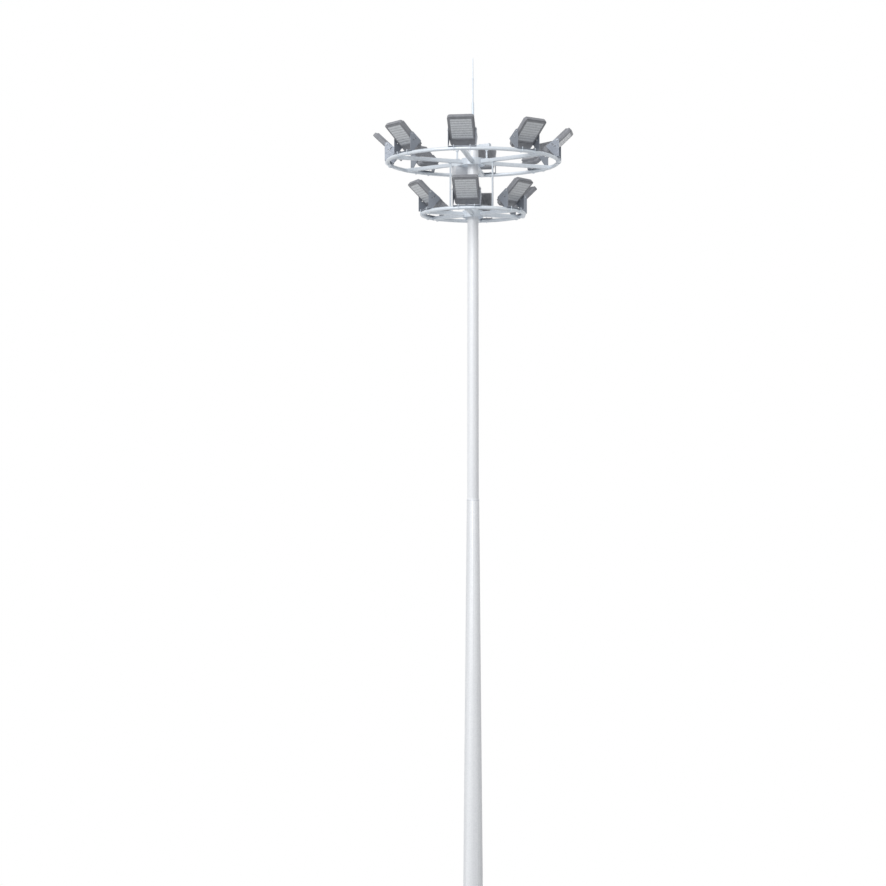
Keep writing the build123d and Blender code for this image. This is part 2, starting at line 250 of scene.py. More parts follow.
class Form:
    """Points and faces of a piece, gathered part by part as arrays."""

    def __init__(self):
        self.points, self.faces, self.count = [], [], 0

    def take(self, points, faces):
        """Adds points, and faces that count from the first of them."""
        self.points.append(np.asarray(points, float))
        self.faces += [np.asarray(f) + self.count for f in faces if len(f)]
        self.count += len(points)
        return self

    def solid(self, outline, layers, holes=()):
        """A plate: the outline goes up through the layers (g, z), each of which moves it out by g and
        lifts it to z; holes go up with -g; the first and last layers are closed by flat faces."""
        layers = np.asarray(layers, float)
        grids, quads, start = [], [], 0
        for k, loop in enumerate([outline, *holes]):
            grow = layers[:, 0, None, None] * outward(loop)[None] * (1 if k == 0 else -1)
            lift = np.broadcast_to(layers[:, 1, None, None], grow.shape[:2] + (1,))
            grids.append(np.concatenate([loop[None] + grow, lift], 2))
            i = np.arange(len(layers) - 1)[:, None] * len(loop)
            j, on = np.arange(len(loop))[None], (np.arange(len(loop)) + 1)[None] % len(loop)
            above = i + len(loop)
            ring = np.stack([i + j, i + on, above + on, above + j], -1).reshape(-1, 4) + start
            quads.append(ring if k == 0 else ring[:, ::-1])
            start += grids[-1].shape[0] * len(loop)
        offsets = np.cumsum([0] + [g.shape[0] * g.shape[1] for g in grids])
        caps = [self.cap([g[layer] for g in grids], offsets, layer, facing)
                for layer, facing in ((0, -1), (len(layers) - 1, 1))]
        return self.take(np.concatenate([g.reshape(-1, 3) for g in grids]), quads + caps)

    @staticmethod
    def cap(loops, offsets, layer, facing):
        """Triangles that close a layer between its outline and its holes, facing down (-1) or up (1)."""
        index = np.concatenate([offsets[k] + layer * len(loop) + np.arange(len(loop))
                                for k, loop in enumerate(loops)])
        flat = np.concatenate(loops)
        tris = np.array(tessellate_polygon([[Vector(p) for p in loop] for loop in loops]))
        a, b, c = (flat[tris[:, n], :2] for n in range(3))
        area = (b - a)[:, 0] * (c - a)[:, 1] - (b - a)[:, 1] * (c - a)[:, 0]
        tris[area * facing < 0] = tris[area * facing < 0][:, ::-1]
        return index[tris[np.abs(area) > 1e-12]]

    def turned(self, profile, count, hollow=False):
        """Surface of revolution: profile point (r, z) goes round as (r cos t, r sin t, z). With hollow
        the profile is a closed loop, or else flat faces close its two ends."""
        profile = np.asarray(profile, float)
        around_axis = profile[:, 0, None, None] * circle(1, count)[None]
        up = np.broadcast_to(profile[:, 1, None, None], (len(profile), count, 1))
        return self.strip(np.concatenate([around_axis, up], 2), over=hollow, capped=not hollow)

    def strip(self, grid, over=False, capped=False):
        """Quads over a grid whose rows are closed rings, from the last row back to the first with over."""
        rows, count = grid.shape[:2]
        i = np.arange(rows if over else rows - 1)[:, None] * count
        j, on = np.arange(count)[None], (np.arange(count) + 1)[None] % count
        above = (i + count) % (rows * count)
        quads = np.stack([i + j, i + on, above + on, above + j], -1).reshape(-1, 4)
        ends = [np.arange(count)[None, ::-1], (rows - 1) * count + np.arange(count)[None]]
        return self.take(grid.reshape(-1, 3), [quads, *ends] if capped else [quads])

    def pipe(self, path, radius, across, count, closed=False):
        """Tube: at each path point with tangent t, the circle r (cos u A + sin u t x A) for a steady A."""
        path = np.asarray(path, float)
        if closed:
            t = np.roll(path, -1, 0) - np.roll(path, 1, 0)
        else:
            t = np.gradient(path, axis=0)
        t /= np.linalg.norm(t, axis=1, keepdims=True)
        a = np.broadcast_to(np.asarray(across, float), path.shape)
        b = np.cross(t, a)
        cos, sin = circle(1, count).T[:, None, :, None]
        radius = np.broadcast_to(radius, len(path))[:, None, None]
        grid = path[:, None] + radius * (cos * a[:, None] + sin * b[:, None])
        return self.strip(grid, over=closed, capped=not closed)

    def copies(self, places):
        """This form at each of several places (4 x 4 matrices), as one form."""
        points = np.concatenate(self.points)
        many = Form()
        for place in places:
            many.take(points @ place[:3, :3].T + place[:3, 3], [])
        for k in range(len(places)):
            many.faces += [f + k * self.count for f in self.faces]
        return many

    def at(self, *place):
        """This form at one place, as another form."""
        matrix = place[0]
        for step in place[1:]:
            matrix = matrix @ step
        return self.copies([matrix])

    def add(self, *others):
        """Takes in other forms."""
        for other in others:
            self.take(np.concatenate(other.points), other.faces)
        return self


def around(form, angles, radius=0.0, rise=0.0):
    """Copies of a form drawn at +X, carried out to a radius, up by a rise and round to each angle."""
    return form.copies([turn(a) @ shift(radius, 0, rise) for a in angles])


def bolt(size, nut=False, washer=True, stud=0.0):
    """Hexagon bolt head or nut on a washer, standing on z = 0, with a stud end above it. It goes by its
    size: 1.55 across flats, 0.65 tall or 0.85 as a nut, the washer 1.05 in radius and 0.15 thick."""
    form, base = Form(), 0.0
    if washer:
        base = 0.15 * size
        form.turned([(1.05 * size, 0), (1.05 * size, base)], 20)
    tall = base + (0.85 if nut else 0.65) * size
    hexagon = circle(1.55 * size / math.sqrt(3), 6)
    form.solid(hexagon, [(-0.06 * size, base), (0, base + 0.06 * size), (0, tall - 0.1 * size),
                         (-0.13 * size, tall)])
    if stud:
        form.turned([(0.5 * size, tall), (0.5 * size, tall + stud - 0.12 * size),
                     (0.38 * size, tall + stud)], 16)
    return form


def fillet_weld(path, across, size, closed=True):
    """Weld bead along a path: a thin tube whose radius ripples as a sine of the place along it."""
    ripple = 1 + 0.16 * np.sin(np.arange(len(path)) * math.pi * 2 / 3)
    return Form().pipe(path, size * ripple, across, 6, closed)


# ================= finishes =================


def srgb(r, g, b):
    """Linear colour from display values of 0 to 255."""
    c = np.array([r, g, b]) / 255
    return (*np.where(c <= 0.04045, c / 12.92, ((c + 0.055) / 1.055) ** 2.4).tolist(), 1.0)


class Wire:
    """A node's output that takes part in arithmetic: each operator adds a Math node."""

    def __init__(self, finish, socket):
        self.finish, self.socket = finish, socket

    def maths(self, operation, *values):
        """A Math node's result."""
        return self.finish.node("Math", {"operation": operation}, dict(enumerate(values)))

    def __add__(self, other):
        return self.maths("ADD", self, other)

    def __sub__(self, other):
        return self.maths("SUBTRACT", self, other)

    def __rsub__(self, other):
        return self.maths("SUBTRACT", other, self)

    def __mul__(self, other):
        return self.maths("MULTIPLY", self, other)

    def __pow__(self, other):
        return self.maths("POWER", self, other)

    __radd__, __rmul__ = __add__, __mul__

    def between(self, low, high):
        """0 at low, 1 at high, smooth between, and held outside."""
        return self.finish.node("MapRange", {"interpolation_type": "SMOOTHSTEP"}, {0: self, 1: low, 2: high})


class Finish:
    """A material whose nodes are added one by one; constants are set on the shader's own sockets."""

    def __init__(self, name, **shader):
        self.material = bpy.data.materials.new(name)
        self.material.use_nodes = True
        self.tree = self.material.node_tree
        self.shader = self.tree.nodes["Principled BSDF"]
        self.set(**shader)

    def set(self, **values):
        """Gives the shader's sockets, named in small letters, their values or links."""
        for key, value in values.items():
            self.join(value, self.shader.inputs[key.replace("_", " ").title().replace("Ior", "IOR")])

    def join(self, value, socket):
        """Links a wire to a socket, or sets the socket to a value."""
        if isinstance(value, Wire):
            self.tree.links.new(value.socket, socket)
        else:
            socket.default_value = value

    def node(self, kind, settings=None, inputs=None, out=0):
        """Adds a node of a type, sets it up, then gives its sockets their values or links."""
        node = self.tree.nodes.new("ShaderNode" + kind)
        for key, value in (settings or {}).items():
            setattr(node, key, value)
        for key, value in (inputs or {}).items():
            self.join(value, node.inputs[key])
        return Wire(self, node.outputs[out])

    def place(self, scale=(1, 1, 1)):
        """Object coordinates, stretched by a scale."""
        where = self.node("TexCoord", out="Object")
        return self.node("Mapping", None, {"Vector": where, "Scale": scale})

    def noise(self, scale, stretch=(1, 1, 1), detail=3.0):
        """Cloudy pattern of a fineness, 0.5 on average."""
        inputs = {"Vector": self.place(stretch), "Scale": scale, "Detail": detail, "Roughness": 0.55}
        return self.node("TexNoise", None, inputs)

    def axes(self):
        """The three object coordinates as numbers."""
        split = self.node("SeparateXYZ", None, {0: self.node("TexCoord", out="Object")}).socket.node
        return [Wire(self, split.outputs[axis]) for axis in "XYZ"]

    def mix(self, factor, first, second):
        """From the first colour to the second as the factor goes from 0 to 1."""
        return self.node("Mix", {"data_type": "RGBA"}, {0: factor, 6: first, 7: second}, 2)

    def bump(self, relief, strength, distance):
        """Normal of a surface that a pattern raises."""
        return self.node("Bump", None, {"Strength": strength, "Distance": distance, "Height": relief})

    def looked_at(self):
        """1 where the camera looks, directly, in a reflection or through glass, and 0 where light falls."""
        path = self.node("LightPath").socket.node
        straight, mirrored, through = (Wire(self, path.outputs[f"Is {ray} Ray"])
                                       for ray in ("Camera", "Glossy", "Transmission"))
        return straight.maths("MAXIMUM", straight, straight.maths("MAXIMUM", mirrored, through))


class Sky(Finish):
    """The surroundings, set up with the same helpers."""

    def __init__(self, world):
        world.use_nodes = True
        self.tree = world.node_tree


def galvanised(name, light, dark, metallic, rough, spangle=50.0, streaks=0.0, dirt_and_shade_top=0.0, clouds=0.75):
    """Hot-dip zinc: crystals of slightly different grey, cloudy patches, run-down streaks, a fine skin,
    and a darkening from the ground up to a height, partly dirt and partly painted shade."""
    f = Finish(name, metallic=metallic, specular_ior_level=0.5)
    crystal = f.node("TexVoronoi", {"feature": "F1"}, {"Vector": f.place(), "Scale": spangle}, "Color")
    shade = f.node("SeparateColor", None, {0: crystal})
    cloud = f.noise(2.6, (1, 1, 0.45), 4.0)
    fine = f.noise(160.0, detail=2.0)
    tone = (shade - 0.5) * 0.28 + (cloud - 0.5) * clouds + 0.42
    if streaks:
        run = f.noise(26.0, (1, 1, 0.02))
        tone = tone + (run - 0.5) * streaks
    colour = f.mix(tone.between(0.0, 1.0), light, dark)
    # dirt and painted shade: the colour darkens towards brownish grey from the ground up to the given height
    if dirt_and_shade_top:
        z = f.axes()[2]
        dirt_and_shade = (1 - z.between(0.05, dirt_and_shade_top)) * (0.35 + 0.5 * f.noise(9.0, detail=5.0))
        colour = f.mix(dirt_and_shade * 0.55, colour, srgb(128, 124, 116))
    roughness = rough + (shade - 0.5) * 0.12 + (cloud - 0.5) * 0.22
    f.set(base_color=colour, roughness=roughness, normal=f.bump(fine * 0.6 + shade * 0.4, 0.10, 0.0006))
    return f.material


def powder_coat(name, light, dark, rough):
    """Baked powder paint: fine orange-peel skin, slight chalking in soft patches."""
    f = Finish(name, metallic=0.0, specular_ior_level=0.45)
    chalk = f.noise(14.0, detail=4.0)
    peel = f.noise(420.0, detail=1.5)
    colour = f.mix(chalk.between(0.3, 0.75), light, dark)
    f.set(base_color=colour, roughness=rough + (chalk - 0.5) * 0.25, normal=f.bump(peel, 0.16, 0.0004))
    return f.material


def plated(name):
    """Zinc-plated fasteners: brighter, with small dull patches."""
    f = Finish(name, metallic=0.7, specular_ior_level=0.5)
    patch = f.noise(120.0)
    colour = f.mix(patch, srgb(196, 200, 205), srgb(150, 154, 160))
    f.set(base_color=colour, roughness=0.3 + patch * 0.25)
    return f.material


def lens_sheet(name, light, dark):
    """Clear optic sheet over white boards: slight clouding inside, smooth and glossy outside."""
    f = Finish(name, metallic=0.0, specular_ior_level=0.5, coat_roughness=0.12)
    cloud = f.noise(30.0, detail=2.0)
    colour = f.mix(cloud.between(0.35, 0.7), light, dark)
    f.set(base_color=colour, roughness=0.28 + cloud * 0.12, coat_weight=0.25 + cloud * 0.1)
    return f.material


def rubber(name):
    """Dark rubber: a dull, fine-grained skin."""
    f = Finish(name, specular_ior_level=0.3)
    grain = f.noise(300.0, detail=2.0)
    colour = f.mix(grain, srgb(46, 47, 50), srgb(62, 63, 66))
    f.set(base_color=colour, roughness=0.75 + (grain - 0.5) * 0.2, normal=f.bump(grain, 0.2, 0.0003))
    return f.material


MAST_STEEL = galvanised("mast_zinc", srgb(244, 246, 249), srgb(231, 234, 239), 0.15, 0.52,
                        spangle=55.0, streaks=0.4, clouds=0.3)
# painted shade: the lower section, flange, gussets and door take a darker copy of the upper mast's zinc
SHADED_LOWER_STEEL = galvanised("lower_mast_zinc_painted_shade", srgb(234, 236, 239), srgb(218, 221, 225), 0.25, 0.50,
                         spangle=55.0, streaks=0.4, dirt_and_shade_top=1.4, clouds=0.3)
RING_STEEL = galvanised("carriage_zinc", srgb(236, 243, 250), srgb(212, 221, 231), 0.20, 0.42)
YOKE_STEEL = galvanised("yoke_zinc", srgb(151, 157, 167), srgb(131, 137, 147), 0.50, 0.42)
ROD_STEEL = galvanised("rod_zinc", srgb(226, 236, 245), srgb(202, 214, 226), 0.30, 0.38)
WELD = galvanised("weld_zinc", srgb(224, 228, 234), srgb(196, 202, 210), 0.30, 0.50, spangle=120.0)
BOX_GREY = powder_coat("box_paint", srgb(233, 236, 241), srgb(222, 225, 230), 0.45)
HEAD_PAINT = powder_coat("head_paint", srgb(150, 152, 158), srgb(136, 138, 144), 0.50)
LENS_ROW = lens_sheet("lens_rows", srgb(222, 226, 231), srgb(209, 213, 218))
LENS_BASE = lens_sheet("lens_boards", srgb(196, 200, 205), srgb(184, 188, 193))
ZINC = plated("plated_fastener")
RUBBER = rubber("seal_rubber")

# ================= pieces =================


def piece(name, form, body, slot, finish, *stands_for):
    """A mesh object from a form, riding on a body; it may stand for CAD nodes."""
    mesh = bpy.data.meshes.new(name)
    points = np.concatenate(form.points).astype(np.float32)
    assert np.isfinite(points).all(), name
    corners = np.concatenate([f.ravel() for f in form.faces]).astype(np.int32)
    sizes = np.concatenate([np.full(len(f), f.shape[1]) for f in form.faces])
    mesh.vertices.add(len(points))
    mesh.vertices.foreach_set("co", points.ravel())
    mesh.loops.add(len(corners))
    mesh.loops.foreach_set("vertex_index", corners)
    mesh.polygons.add(len(sizes))
    mesh.polygons.foreach_set("loop_start", (np.cumsum(sizes) - sizes).astype(np.int32))
    mesh.update(calc_edges=True)
    mesh.validate()
    mesh.shade_smooth()
    mesh.set_sharp_from_angle(angle=math.radians(32))
    mesh.materials.append(finish)
    obj = bpy.data.objects.new(name, mesh)
    bpy.context.scene.collection.objects.link(obj)
    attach(obj, body)
    if stands_for:
        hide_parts(*stands_for)


def keep(node, finish, edge, angle=25):
    """A CAD node keeps its shape: its triangles are merged, and its edges sharper than an angle in
    degrees are broken by a small bevel."""
    obj = nodes[node]
    obj.data.materials.clear()
    obj.data.materials.append(finish)
    obj.data.shade_smooth()
    weld = obj.modifiers.new("merge", "WELD")
    weld.merge_threshold = 1e-5
    flat = obj.modifiers.new("flat_faces", "DECIMATE")
    flat.decimate_type = "DISSOLVE"
    flat.angle_limit = math.radians(0.6)
    bevel = obj.modifiers.new("broken_edges", "BEVEL")
    bevel.limit_method = "ANGLE"
    bevel.angle_limit = math.radians(angle)
    bevel.width = edge
    bevel.segments = 2
    bevel.harden_normals = True


# ================= mast =================


def mast_radius(z):
    """Radius of the lower section: it shrinks by the taper for each metre of height."""
    return BASE_RADIUS - MAST_TAPER * (z - FLANGE_TOP)


def anchor_nuts():
    """At each anchor a nut on its washer, and a lock nut that the bolt's end stands out of."""
    pair = bolt(ANCHOR_BOLT, nut=True)
    pair.add(bolt(ANCHOR_BOLT, nut=True, washer=False, stud=ANCHOR_BOLT).at(shift(z=ANCHOR_BOLT)))
    return around(pair, stations(ANCHORS, math.pi / ANCHORS), ANCHOR_CIRCLE, FLANGE_TOP)


def seam(low, high, at_low, at_high, size):
    """Lengthwise weld seam: a straight ripple-sided bead between two heights on a tapered tube."""
    z = np.linspace(low, high, int((high - low) / 0.012))
    r = at_low + (at_high - at_low) * (z - low) / (high - low)
    path = points_at(r * math.cos(SEAM), r * math.sin(SEAM), z)
    return fillet_weld(path, (math.cos(SEAM), math.sin(SEAM), 0), size, closed=False)


def ring_weld(radius, z, size, count):
    """Weld bead round an upright axis: a closed circular tube whose thickness ripples."""
    return fillet_weld(points_at(*circle(radius, count).T, z), (0, 0, 1), size)


def gusset_welds():
    """Beads up both sides of each gusset where it meets the mast, and out where it meets the flange."""
    bead, short = 0.0035, 0.004          # the beads' radius, and how far they stop from a corner
    z = np.linspace(FLANGE_TOP + short, GUSSET_TOP - short, 16)
    x = np.linspace(mast_radius(FLANGE_TOP) + short, FLANGE_RADIUS - 0.024, 12)
    form = Form()
    for y in (-GUSSET_SIDE, GUSSET_SIDE):
        for path in (points_at(mast_radius(z) + 0.002, y, z), points_at(x, y, FLANGE_TOP + 0.001)):
            form.add(fillet_weld(path, (0, 1, 0), bead, closed=False))
    return around(form, stations(GUSSETS))


def mast_welds():
    """All beads of the mast: gussets, round its foot and its joint, and along both sections."""
    foot, joint, sunk = mast_radius(FLANGE_TOP), mast_radius(JOINT), 0.0005
    return gusset_welds().add(
        ring_weld(foot + 0.0015, FLANGE_TOP + 0.002, 0.0045, 180),
        ring_weld(joint + sunk, JOINT + 0.001, 0.004, 120),
        seam(FLANGE_TOP + 0.02, JOINT - 0.01, foot - sunk, joint - sunk, 0.0022),
        seam(JOINT + 0.03, PLATE_LOW - 0.01, SEAM_FOOT, SEAM_HEAD, 0.0020))


def on_door(x, z):
    """Place on the door's round face at a sideways distance and a height, facing straight out of it."""
    out = math.sqrt(DOOR_FRONT ** 2 - x * x) - DOOR_SINK
    return shift(x, -out, z) @ turn(math.asin(x / DOOR_FRONT)) @ TO_FRONT


def door_hardware():
    """Two hinges with round knuckles on one side of the door, and two barrel locks on the other."""
    half, end, groove, thin = 0.036, 0.034, 0.012, 0.0062
    knuckle = Form().turned([(0.0035, -half), (0.007, -end), (0.007, -groove - 0.0005), (thin, -groove),
                             (thin, -groove + 0.0005), (0.007, -groove + 0.001),
                             (0.007, groove - 0.001), (thin, groove - 0.0005),
                             (thin, groove), (0.007, groove + 0.0005), (0.007, end), (0.0035, half)], 16)
    leaf = Form().solid(oblong(0.044, 0.060, 0.006), slab(0, 0.0033, 0.0008))
    barrel = Form().turned([(0.013, 0), (0.013, 0.006), (0.0115, 0.0075)], 20)
    barrel.solid(circle(0.006, 3), [(0, 0.0075), (0, 0.0115), (-0.0008, 0.0125)])
    rise = DOOR_HIGH - DOOR_LOW
    x = -DOOR_SIDE - 0.004
    mast_face = -math.sqrt(mast_radius((DOOR_LOW + DOOR_HIGH) / 2) ** 2 - x * x)
    form = Form()
    for z in (DOOR_LOW + 0.24 * rise, DOOR_HIGH - 0.24 * rise):
        form.add(knuckle.at(shift(x, mast_face - 0.010, z)), leaf.at(on_door(-DOOR_SIDE + 0.028, z)))
    for z in (DOOR_LOW + 0.30 * rise, DOOR_HIGH - 0.30 * rise):
        form.add(barrel.at(on_door(DOOR_SIDE - 0.034, z)))
    return form


def head_plate():
    """Round plate with broken rims, and the thick boss on it that the three arms butt against."""
    rim, boss = 0.125, 0.096
    profile = [(rim - 0.005, 0), (rim, 0.004), (rim, 0.012), (rim - 0.003, 0.015), (boss, 0.0152),
               (boss, 0.056), (boss - 0.004, PLATE_TOP - PLATE_LOW)]
    return Form().turned(profile, 64).at(shift(z=PLATE_LOW))


def docking_cups():
    """Upright tubes under the arms, a little wider at the mouth, that the docking pins enter."""
    inner, outer = 0.020, 0.025
    profile = [(inner, 0.008), (inner + 0.002, 0), (outer, 0), (outer, CUP_HEIGHT), (inner, CUP_HEIGHT)]
    return around(Form().turned(profile, 32, hollow=True), HOISTED, DOCK_CIRCLE, PLATE_LOW - CUP_HEIGHT)


def rod_sleeve():
    """Tube that holds the rod, on a round foot with four bolts, with two clamp screws in its side."""
    foot, tube, tall = 0.045, 0.019, SLEEVE_TOP - PLATE_TOP
    form = Form().turned([(foot - 0.002, 0), (foot, 0.002), (foot, 0.008), (foot - 0.002, 0.010),
                          (tube + 0.005, 0.0105), (tube, 0.016), (tube, tall - 0.004),
                          (tube - 0.003, tall)], 32)
    for z in (0.34, tall - 0.06):
        form.add(bolt(0.008, washer=False).at(turn(2.2), shift(tube - 0.0005, 0, z), TO_RIGHT))
    form.add(around(bolt(0.010, washer=False), stations(4, 0.4), 0.034, 0.0098))
    return form.at(shift(z=PLATE_TOP))


def lightning_rod():
    """Rod in two halves, the thinner one screwed in over a collar and drawn out to a point."""
    tall = ROD_TOP - SLEEVE_TOP
    step = tall - THIN_ROD
    profile = [(0.011, 0), (0.011, step - 0.022), (0.0135, step - 0.021), (0.0135, step + 0.018),
               (0.008, step + 0.020), (0.0075, tall - 0.040), (0.002, tall)]
    return Form().turned(profile, 20).at(shift(z=SLEEVE_TOP))


def head_frame_bolts():
    """Two bolts in the top of each arm."""
    pair = bolt(0.012).copies([shift(x, 0, 0.060) for x in (0.140, 0.325)])
    return around(pair, HOISTED, 0, PLATE_LOW)


def build_mast():
    """Everything that stands still. Flange, tubes, door and arms are the frame's own shapes."""
    keep("mast_lower_section", SHADED_LOWER_STEEL, 0.004, 8)
    keep("mast_upper_section", MAST_STEEL, 0.004, 8)
    keep("mast_joint_ring", MAST_STEEL, 0.003)
    keep("base_flange", SHADED_LOWER_STEEL, 0.002)
    keep("base_gussets", SHADED_LOWER_STEEL, 0.0012)
    keep("door_frame", SHADED_LOWER_STEEL, 0.0015, 30)
    keep("service_door", SHADED_LOWER_STEEL, 0.0012, 30)
    keep("head_frame_arms", RING_STEEL, 0.003)
    piece("anchor_nuts", anchor_nuts(), "mast", "mast_steel", ZINC)
    piece("mast_welds", mast_welds(), "mast", "mast_steel", WELD)
    piece("door_hardware", door_hardware(), "mast", "mast_steel", ZINC)
    piece("head_plate_round", head_plate(), "mast", "mast_steel", RING_STEEL, "head_plate")
    piece("docking_cups_round", docking_cups(), "mast", "mast_steel", RING_STEEL, "docking_cups")
    piece("rod_sleeve_round", rod_sleeve(), "mast", "rod_steel", ROD_STEEL, "rod_sleeve")
    piece("lightning_rod_round", lightning_rod(), "mast", "rod_steel", ROD_STEEL, "lightning_rod")
    piece("head_frame_bolts", head_frame_bolts(), "mast", "mast_steel", ZINC)


# ================= carriage =================


def ring_tube(tier):
    """Torus: the circle of the tube's radius carried round the ring."""
    return Form().turned(circle(RING_TUBE, 20) + (tier.ring, tier.z), 180, hollow=True)


def hub_band(tier):
    """Hub: an upright band with slightly rounded rims."""
    half, e, inner = HUB_HEIGHT / 2, 0.0015, tier.hub - HUB_WALL
    profile = [(inner, -half + e), (inner + e, -half), (tier.hub - e, -half), (tier.hub, -half + e),
               (tier.hub, half - e), (tier.hub - e, half), (inner + e, half), (inner, half - e)]
    return Form().turned([(r, tier.z + h) for r, h in profile], 96, hollow=True)


def spoke_ends(tier, outline, gap):
    """Both ends of a spoke as point rings: each outline point (y, up) meets the hub at sqrt(h^2 - y^2),
    and the ring's tube where sqrt(x^2 + y^2) = ring - sqrt(tube^2 - up^2), or at its crown when it is
    as high."""
    y, up = outline.T
    across = tier.ring - np.sqrt(np.maximum(RING_TUBE ** 2 - up ** 2, 0))
    inner = points_at(np.sqrt(tier.hub ** 2 - y ** 2) + gap, y, up)
    outer = points_at(np.sqrt(across ** 2 - y ** 2) - gap, y, up)
    return inner, outer


def spoke_tubes(tier):
    """Square tubes with round edges, coped to the hub and to the ring."""
    inner, outer = spoke_ends(tier, oblong(SPOKE_WIDTH, SPOKE_HEIGHT, 0.005, steps=4), 0.0003)
    grid = inner + (outer - inner) * np.linspace(0, 1, 3)[:, None, None]
    return around(Form().strip(grid, capped=True), SPOKES, 0, tier.z)


def spoke_welds(tier):
    """Beads round both ends of each spoke, along its outline."""
    sides = [(-1, -1), (1, -1), (1, 1), (-1, 1), (-1, -1)]
    outline = np.concatenate([np.linspace(a, b, 12, endpoint=False) for a, b in zip(sides, sides[1:])])
    outline = outline * (SPOKE_WIDTH / 2 + 0.0005, SPOKE_HEIGHT / 2 + 0.0005)
    form = Form()
    for path in spoke_ends(tier, outline, 0.0015):
        form.add(fillet_weld(path, (1, 0, 0), 0.0032))
    return around(form, SPOKES, 0, tier.z)


def tie_rods():
    """Round rods from the lower spokes to the upper ones, with a square plate at each end."""
    low, high = LOWER.z + SPOKE_HEIGHT / 2, UPPER.z - SPOKE_HEIGHT / 2
    plate = oblong(0.060, 0.060, 0.006)
    form = Form().turned([(TIE_ROD, low + 0.007), (TIE_ROD, high - 0.007)], 24)
    for z in (low, high - END_PLATE):
        form.solid(plate, slab(z, z + END_PLATE, 0.001))
    return around(form, HOISTED, TIE_CIRCLE)


def tie_rod_nuts():
    """Four bolts in the lower plate of each tie rod."""
    z = LOWER.z + SPOKE_HEIGHT / 2 + END_PLATE
    four = bolt(0.008).copies([shift(x, y, z) for x in (-0.021, 0.021) for y in (-0.021, 0.021)])
    return around(four, HOISTED, TIE_CIRCLE)


def docking_pins():
    """Round pins with a bullet nose, radius r sqrt(1 - s^1.8) along it, on bolted plates over spokes."""
    low, nose, end = UPPER.z + SPOKE_HEIGHT / 2, 0.022, 0.96
    profile = [(DOCK_PIN, low + 0.007)]
    profile += [(DOCK_PIN * math.sqrt(1 - s ** 1.8), PIN_TOP - nose + nose * s / end)
                for s in np.linspace(0, end, 8)]
    form = Form().turned(profile, 24)
    form.solid(oblong(0.070, 0.060, 0.005), slab(low, low + END_PLATE, 0.001))
    form.add(ring_weld(DOCK_PIN + 0.001, low + 0.009, 0.003, 36))
    screw = bolt(0.007, washer=False)
    form.add(*(screw.at(shift(x, y, low + END_PLATE)) for x in (-0.026, 0.026) for y in (-0.021, 0.021)))
    return around(form, HOISTED, DOCK_CIRCLE)


def yoke_side():
    """Side plate of a yoke with rounded corners, the pivot hole and the arc of the aiming slot."""
    front, back = 0.032, -0.050          # of the plate's foot, along the head
    corners = [(back, 0.030), (front, 0.030), (front, 0.309), (0.012, 0.329), (-0.020, 0.329),
               (-0.185, 0.197), (back, 0.055)]
    outline = rounded(corners, [0, 0, 0.010, 0.010, 0.012, 0.014, 0.030])
    pivot = circle(0.0075, 16) + (0, PIVOT_RISE)
    slot = arc_slot(SLOT_RADIUS, SLOT_WIDTH, SLOT_START, SLOT_END) + (0, PIVOT_RISE)
    return Form().solid(outline, slab(0, YOKE_PLATE, 0.0007), [pivot, slot])


def yoke():
    """Foot plate over the ring with a side plate at each end."""
    form = yoke_side().copies([shift(y=y) @ TO_FRONT for y in (YOKE_PLATE - YOKE_SPAN / 2, YOKE_SPAN / 2)])
    foot = oblong(0.082, YOKE_SPAN - 2 * YOKE_PLATE, 0.001, (-0.009, 0), 1)
    return form.solid(foot, [(0, RING_TUBE), (0, RING_TUBE + YOKE_FOOT)])


def ring_clamps():
    """Two U-bolts under the ring at each yoke: half a circle about the tube, two legs, two nuts."""
    wire = 0.005
    r, leg = RING_TUBE + wire + 0.0005, RING_TUBE + YOKE_FOOT + 0.014
    t = np.linspace(math.pi, 2 * math.pi, 17)
    x = np.concatenate([[-r], r * np.cos(t), [r]])
    z = np.concatenate([[leg], r * np.sin(t), [leg]])
    nut = bolt(0.010, nut=True)
    form = Form()
    for y in (-CLAMP_SIDE, CLAMP_SIDE):
        form.pipe(points_at(x, y, z), wire, (0, 1, 0), 10)
        form.add(nut.copies([shift(side, y, RING_TUBE + YOKE_FOOT) for side in (-r, r)]))
    return form


def foot_welds():
    """Bead along the inner corner between a yoke's foot and each side plate."""
    x = np.linspace(-0.048, 0.030, 20)
    aside = YOKE_SPAN / 2 - YOKE_PLATE
    form = Form()
    for y in (-aside, aside):
        form.add(fillet_weld(points_at(x, y, RING_TUBE + YOKE_FOOT), (0, 1, 0), 0.003, closed=False))
    return form


def box_fittings():
    """Door of the junction box as a raised panel on its outer face, with two latches and two hinges."""
    tall, face = BOX_TOP - BOX_LOW, BOX_INNER + BOX_DEPTH
    facing_out = turn(math.pi / 2) @ TO_FRONT
    panel = Form().solid(oblong(BOX_WIDTH - 0.040, tall - 0.030, 0.010),
                         [(0, 0), (0, 0.004), (-0.002, 0.006)])
    latch = Form().solid(oblong(0.014, 0.034, 0.004), [(0, 0), (0, 0.008), (-0.002, 0.010)])
    hinge = Form().turned([(0.004, -0.020), (0.005, -0.019), (0.005, 0.019), (0.004, 0.020)], 12)
    form = panel.at(shift(face, BOX_SIDE, -tall / 2), facing_out)
    for y in (BOX_SIDE - 0.10, BOX_SIDE + 0.10):
        form.add(latch.at(shift(face + 0.006, y, -tall / 2 - 0.035), facing_out),
                 hinge.at(shift(face + 0.004, y, -0.016), TO_FRONT))
    return form.at(turn(BOX_STATION), shift(z=BOX_TOP))


